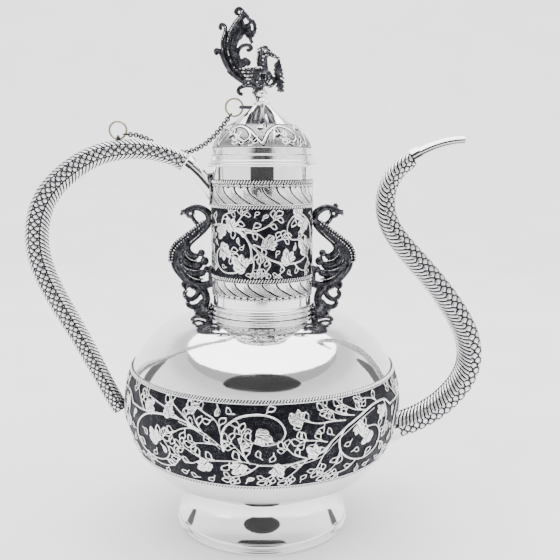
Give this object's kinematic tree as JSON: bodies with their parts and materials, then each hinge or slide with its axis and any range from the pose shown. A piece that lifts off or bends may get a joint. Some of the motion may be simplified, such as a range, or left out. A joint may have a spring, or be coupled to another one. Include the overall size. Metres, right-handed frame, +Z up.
{
  "type": "coffee pot",
  "caption": "Tall silver coffee pot on a round foot, with a hollow loop handle, long curved spout, two cast side brackets, and a lift-off lid with a bird finial, held by a chain.",
  "frame": {"origin": "centre of the foot, on the surface the pot stands on", "axes": "+Z up along the pot's axis, +X towards the spout, -X towards the handle, +Y away from the viewer"},
  "size_m": [0.3606, 0.2176, 0.3996],
  "materials": {
    "polished_silver": "mirror-polished silver",
    "chased_silver": "chased silver relief on an oxidised black ground",
    "oxidised_silver": "cast silver, oxidised dark, bright on its high points",
    "pale_gold_wire": "bright drawn wire",
    "brass": "turned brass"
  },
  "bodies": {
    "pot": {"band_rope_lower": "chased_silver", "band_rope_upper": "chased_silver", "body_band": "chased_silver", "body_lower": "polished_silver", "body_upper": "polished_silver", "bracket_left": "oxidised_silver", "bracket_right": "oxidised_silver", "foot_pedestal": "polished_silver", "foot_rim": "polished_silver", "handle_collar": "polished_silver", "handle_end": "polished_silver", "handle_leaf_mount": "oxidised_silver", "handle_neck_mount": "oxidised_silver", "handle_staple": "oxidised_silver", "handle_tube": "chased_silver", "neck_collar": "polished_silver", "neck_leaf_band_lower": "chased_silver", "neck_leaf_band_upper": "chased_silver", "neck_mouth_ring": "polished_silver", "neck_rope_lower": "chased_silver", "neck_rope_middle": "chased_silver", "neck_rope_upper": "chased_silver", "neck_scroll_band": "chased_silver", "neck_tube": "polished_silver", "spout_collar": "polished_silver", "spout_root_ring": "polished_silver", "spout_tip": "polished_silver", "spout_tube": "chased_silver"},
    "lid": {"lid_bezel": "polished_silver", "lid_rim": "polished_silver", "lid_dome": "chased_silver", "lid_cone": "polished_silver", "lid_staple": "oxidised_silver", "finial_stud": "brass", "finial_nut": "brass", "finial_base": "polished_silver", "finial_bird": "oxidised_silver", "finial_tail": "oxidised_silver"},
    "handle_ring": {"handle_ring": "pale_gold_wire"},
    "lid_ring": {"lid_ring": "pale_gold_wire"},
    "chain_01": {"chain_01": "oxidised_silver"},
    "chain_02": {"chain_02": "oxidised_silver"},
    "chain_03": {"chain_03": "oxidised_silver"},
    "chain_04": {"chain_04": "oxidised_silver"},
    "chain_05": {"chain_05": "oxidised_silver"},
    "chain_06": {"chain_06": "oxidised_silver"},
    "chain_07": {"chain_07": "oxidised_silver"},
    "chain_08": {"chain_08": "oxidised_silver"},
    "chain_09": {"chain_09": "oxidised_silver"},
    "chain_10": {"chain_10": "oxidised_silver"},
    "chain_11": {"chain_11": "oxidised_silver"}
  },
  "joints": [
    {"name": "lid_lift", "type": "slide", "parent": "pot", "child": "lid", "axis": [0, 0, 1], "range_m": [0, 0.015]},
    {"name": "handle_ring_turn", "type": "hinge", "parent": "pot", "child": "handle_ring", "pos_m": [-0.1099, 0, 0.3106], "axis": [0, 1, 0], "range_deg": [-6.38, 1]},
    {"name": "lid_ring_turn", "type": "hinge", "parent": "lid", "child": "lid_ring", "pos_m": [-0.0211, 0, 0.3276], "axis": [0, 1, 0], "range_deg": [-9, 1]},
    {"name": "chain_01_hinge", "type": "hinge", "parent": "handle_ring", "child": "chain_01", "pos_m": [-0.10566, 0, 0.30763], "axis": [0, 1, 0], "range_deg": [-6.55, 1]},
    {"name": "chain_02_hinge", "type": "hinge", "parent": "chain_01", "child": "chain_02", "pos_m": [-0.09592, 0.00215, 0.30701], "axis": [0, 1, 0], "range_deg": [-3.37, 1]},
    {"name": "chain_03_hinge", "type": "hinge", "parent": "chain_02", "child": "chain_03", "pos_m": [-0.08877, 0.00597, 0.30439], "axis": [0, 1, 0], "range_deg": [-2.22, 1]},
    {"name": "chain_04_hinge", "type": "hinge", "parent": "chain_03", "child": "chain_04", "pos_m": [-0.08216, 0.00911, 0.30003], "axis": [0, 1, 0], "range_deg": [-1, 1.21]},
    {"name": "chain_05_hinge", "type": "hinge", "parent": "chain_04", "child": "chain_05", "pos_m": [-0.07462, 0.01042, 0.29627], "axis": [0, 1, 0], "range_deg": [-1, 1.7]},
    {"name": "chain_06_hinge", "type": "hinge", "parent": "chain_05", "child": "chain_06", "pos_m": [-0.06635, 0.01034, 0.29424], "axis": [0, 1, 0], "range_deg": [-1, 1.96]},
    {"name": "chain_07_hinge", "type": "hinge", "parent": "chain_06", "child": "chain_07", "pos_m": [-0.05798, 0.00876, 0.29425], "axis": [0, 1, 0], "range_deg": [-1, 2.54]},
    {"name": "chain_08_hinge", "type": "hinge", "parent": "chain_07", "child": "chain_08", "pos_m": [-0.05011, 0.00674, 0.29683], "axis": [0, 1, 0], "range_deg": [-1, 2.81]},
    {"name": "chain_09_hinge", "type": "hinge", "parent": "chain_08", "child": "chain_09", "pos_m": [-0.04303, 0.00466, 0.30108], "axis": [0, 1, 0], "range_deg": [-1, 3.04]},
    {"name": "chain_10_hinge", "type": "hinge", "parent": "chain_09", "child": "chain_10", "pos_m": [-0.03668, 0.00273, 0.30643], "axis": [0, 1, 0], "range_deg": [-1, 3.26]},
    {"name": "chain_11_hinge", "type": "hinge", "parent": "chain_10", "child": "chain_11", "pos_m": [-0.03099, 0.00118, 0.31258], "axis": [0, 1, 0], "range_deg": [-1, 3.2]}
  ],
  "couplings": [
    {"joint": "handle_ring_turn", "follows": "lid_lift", "rad_per_m": -6.2541},
    {"joint": "lid_ring_turn", "follows": "lid_lift", "rad_per_m": -9.3084},
    {"joint": "chain_01_hinge", "follows": "lid_lift", "rad_per_m": -6.4608},
    {"joint": "chain_02_hinge", "follows": "lid_lift", "rad_per_m": -2.7625},
    {"joint": "chain_03_hinge", "follows": "lid_lift", "rad_per_m": -1.421},
    {"joint": "chain_04_hinge", "follows": "lid_lift", "rad_per_m": 0.24953},
    {"joint": "chain_05_hinge", "follows": "lid_lift", "rad_per_m": 0.81229},
    {"joint": "chain_06_hinge", "follows": "lid_lift", "rad_per_m": 1.1213},
    {"joint": "chain_07_hinge", "follows": "lid_lift", "rad_per_m": 1.7925},
    {"joint": "chain_08_hinge", "follows": "lid_lift", "rad_per_m": 2.1118},
    {"joint": "chain_09_hinge", "follows": "lid_lift", "rad_per_m": 2.3795},
    {"joint": "chain_10_hinge", "follows": "lid_lift", "rad_per_m": 2.627},
    {"joint": "chain_11_hinge", "follows": "lid_lift", "rad_per_m": 2.5603}
  ]
}
